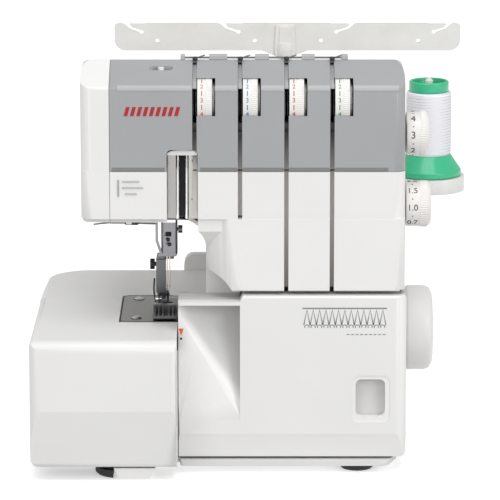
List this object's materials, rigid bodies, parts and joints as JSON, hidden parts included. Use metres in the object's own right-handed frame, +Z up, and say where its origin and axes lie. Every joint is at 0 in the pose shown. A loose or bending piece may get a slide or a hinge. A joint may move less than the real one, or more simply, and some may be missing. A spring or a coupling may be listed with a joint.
{
  "type": "serger overlock machine",
  "caption": "Household serger that trims and overcasts fabric edges, with tension dials, looper cover, swing-away cloth plate, spool stand and telescopic thread tree.",
  "frame": {"origin": "on the surface it stands on, under the middle of the machine's bounding box", "axes": "+X to the operator's right, +Y away from the operator, +Z up"},
  "size_m": [0.311, 0.276, 0.2885],
  "materials": {
    "white": "satin moulded",
    "grey": "satin moulded",
    "pan": "moulded",
    "black_rubber": "matte",
    "cast_alloy": "as cast",
    "brass": "turned",
    "steel": "brushed",
    "dark_steel": "brushed",
    "chrome": "polished",
    "dial_white": "moulded",
    "black_plastic": "moulded",
    "disc_black": "satin",
    "green": "satin moulded",
    "thread": "wound thread",
    "ivory": "translucent moulded",
    "lens": "diffusing"
  },
  "bodies": {
    "housing": {"base_pan": "pan", "base_front_leg": "white", "rubber_feet": "black_rubber", "machine_frame": "cast_alloy", "shaft_bushes": "brass", "tension_panel": "grey", "front_cover": "white", "rear_cover": "white", "face_cover": "white", "side_cover": "white", "bed_rear_cover": "white", "housing_screws": "steel", "pivot_pins": "steel", "needle_plate": "dark_steel", "needle_plate_screws": "chrome", "lower_knife": "steel", "needle_bar_guides": "chrome", "motor": "dark_steel", "drive_belt": "black_rubber", "tension_discs": "disc_black", "top_thread_guide": "dark_steel", "power_panel": "black_plastic", "work_lamp": "lens", "spool_stand": "white", "spool_pins": "ivory", "spool_holders": "ivory", "antenna_lower": "chrome"},
    "drive_shaft": {"main_shaft": "steel", "handwheel": "white"},
    "motor_shaft": {"motor_pulley": "steel"},
    "needle_bar": {"needle_bar": "chrome", "needle_clamp": "steel", "needle_clamp_screws": "dark_steel", "needles": "chrome"},
    "take_up": {"take_up_lever": "chrome"},
    "upper_looper": {"upper_looper": "chrome"},
    "lower_looper": {"lower_looper": "chrome"},
    "upper_knife": {"upper_knife": "steel"},
    "feed_dog": {"feed_dog": "steel"},
    "presser_bar": {"presser_bar": "chrome", "foot_holder": "steel", "presser_thumb_screw": "black_plastic"},
    "presser_foot": {"presser_foot": "dark_steel"},
    "presser_lifter": {"presser_lifter": "black_plastic"},
    "pressure_dial": {"pressure_dial": "dial_white"},
    "tension_dial_1": {"tension_dial_1": "dial_white"},
    "tension_dial_2": {"tension_dial_2": "dial_white"},
    "tension_dial_3": {"tension_dial_3": "dial_white"},
    "tension_dial_4": {"tension_dial_4": "dial_white"},
    "stitch_length_dial": {"stitch_length_dial": "dial_white"},
    "differential_dial": {"differential_dial": "dial_white"},
    "looper_cover_rod": {"looper_cover_rod": "steel"},
    "looper_cover": {"looper_cover": "white"},
    "cloth_plate": {"cloth_plate": "white"},
    "spool": {"spool_core": "green", "thread_package": "thread"},
    "antenna_middle": {"antenna_middle": "chrome"},
    "antenna_upper": {"antenna_upper": "chrome", "thread_tree": "ivory"},
    "power_switch": {"power_switch": "black_plastic"}
  },
  "joints": [
    {"name": "handwheel_spin", "type": "hinge", "parent": "housing", "child": "drive_shaft", "pos_m": [0, -0.028, 0.0847], "axis": [1, 0, 0], "continuous": true},
    {"name": "motor_spin", "type": "hinge", "parent": "housing", "child": "motor_shaft", "pos_m": [0, 0.064, 0.046], "axis": [1, 0, 0], "continuous": true},
    {"name": "needle_bar_slide", "type": "slide", "parent": "housing", "child": "needle_bar", "axis": [0, 0, 1], "range_m": [-0.026, 0]},
    {"name": "take_up_swing", "type": "hinge", "parent": "housing", "child": "take_up", "pos_m": [-0.055, -0.014, 0.228], "axis": [1, 0, 0], "range_deg": [0, 15]},
    {"name": "upper_looper_swing", "type": "hinge", "parent": "housing", "child": "upper_looper", "pos_m": [-0.018, -0.03, 0.066], "axis": [0, 1, 0], "range_deg": [-8, 0]},
    {"name": "lower_looper_swing", "type": "hinge", "parent": "housing", "child": "lower_looper", "pos_m": [-0.038, -0.03, 0.04], "axis": [0, 1, 0], "range_deg": [0, 12]},
    {"name": "upper_knife_slide", "type": "slide", "parent": "housing", "child": "upper_knife", "axis": [0, 0, 1], "range_m": [-0.006, 0]},
    {"name": "feed_dog_slide", "type": "slide", "parent": "housing", "child": "feed_dog", "axis": [0, 1, 0], "range_m": [-0.0012, 0.0012]},
    {"name": "presser_bar_lift", "type": "slide", "parent": "housing", "child": "presser_bar", "axis": [0, 0, 1], "range_m": [0, 0.006], "stiffness_N_per_m": 400, "springref_m": -0.005},
    {"name": "presser_foot_tilt", "type": "hinge", "parent": "presser_bar", "child": "presser_foot", "pos_m": [-0.0655, -0.0225, 0.1075], "axis": [-1, 0, 0], "range_deg": [0, 8]},
    {"name": "presser_lifter_lift", "type": "hinge", "parent": "housing", "child": "presser_lifter", "pos_m": [-0.062, -0.002, 0.205], "axis": [1, 0, 0], "range_deg": [0, 25]},
    {"name": "pressure_dial_turn", "type": "hinge", "parent": "housing", "child": "pressure_dial", "pos_m": [-0.0654, -0.0817, 0.28], "axis": [0, 0, 1], "range_deg": [-360, 360]},
    {"name": "tension_dial_1_turn", "type": "hinge", "parent": "housing", "child": "tension_dial_1", "pos_m": [-0.0354, -0.0835, 0.2582], "axis": [1, 0, 0], "range_deg": [-130, 130]},
    {"name": "tension_dial_2_turn", "type": "hinge", "parent": "housing", "child": "tension_dial_2", "pos_m": [-0.0043, -0.0835, 0.2582], "axis": [1, 0, 0], "range_deg": [-130, 130]},
    {"name": "tension_dial_3_turn", "type": "hinge", "parent": "housing", "child": "tension_dial_3", "pos_m": [0.0274, -0.0835, 0.2582], "axis": [1, 0, 0], "range_deg": [-130, 130]},
    {"name": "tension_dial_4_turn", "type": "hinge", "parent": "housing", "child": "tension_dial_4", "pos_m": [0.0587, -0.0835, 0.2582], "axis": [1, 0, 0], "range_deg": [-130, 130]},
    {"name": "stitch_length_turn", "type": "hinge", "parent": "housing", "child": "stitch_length_dial", "pos_m": [0.11, -0.078, 0.2345], "axis": [1, 0, 0], "range_deg": [-120, 60]},
    {"name": "differential_turn", "type": "hinge", "parent": "housing", "child": "differential_dial", "pos_m": [0.11, -0.078, 0.185], "axis": [1, 0, 0], "range_deg": [-60, 120]},
    {"name": "looper_cover_shift", "type": "slide", "parent": "housing", "child": "looper_cover_rod", "axis": [1, 0, 0], "range_m": [0, 0.006]},
    {"name": "looper_cover_tilt", "type": "hinge", "parent": "looper_cover_rod", "child": "looper_cover", "pos_m": [0.02, -0.0995, 0.018], "axis": [1, 0, 0], "range_deg": [0, 80]},
    {"name": "cloth_plate_swing", "type": "hinge", "parent": "housing", "child": "cloth_plate", "pos_m": [-0.1495, -0.01, 0.055], "axis": [0, 0, 1], "range_deg": [-80, 0]},
    {"name": "spool_lift", "type": "slide", "parent": "housing", "child": "spool", "axis": [0, 0, 1], "range_m": [0, 0.022]},
    {"name": "antenna_middle_slide", "type": "slide", "parent": "housing", "child": "antenna_middle", "axis": [0, 0, 1], "range_m": [0, 0.07]},
    {"name": "antenna_upper_slide", "type": "slide", "parent": "antenna_middle", "child": "antenna_upper", "axis": [0, 0, 1], "range_m": [0, 0.07]},
    {"name": "power_switch_rock", "type": "hinge", "parent": "housing", "child": "power_switch", "pos_m": [0.0994, 0.032, 0.03], "axis": [0, 1, 0], "range_deg": [0, 6]}
  ],
  "couplings": [
    {"joint": "motor_spin", "follows": "handwheel_spin", "ratio": 3.5},
    {"joint": "take_up_swing", "follows": "needle_bar_slide", "rad_per_m": -10},
    {"joint": "upper_looper_swing", "follows": "needle_bar_slide", "rad_per_m": 5.3},
    {"joint": "lower_looper_swing", "follows": "needle_bar_slide", "rad_per_m": -8},
    {"joint": "upper_knife_slide", "follows": "needle_bar_slide", "ratio": 0.23},
    {"joint": "feed_dog_slide", "follows": "needle_bar_slide", "ratio": 0.04},
    {"joint": "presser_lifter_lift", "follows": "presser_bar_lift", "rad_per_m": 72}
  ]
}
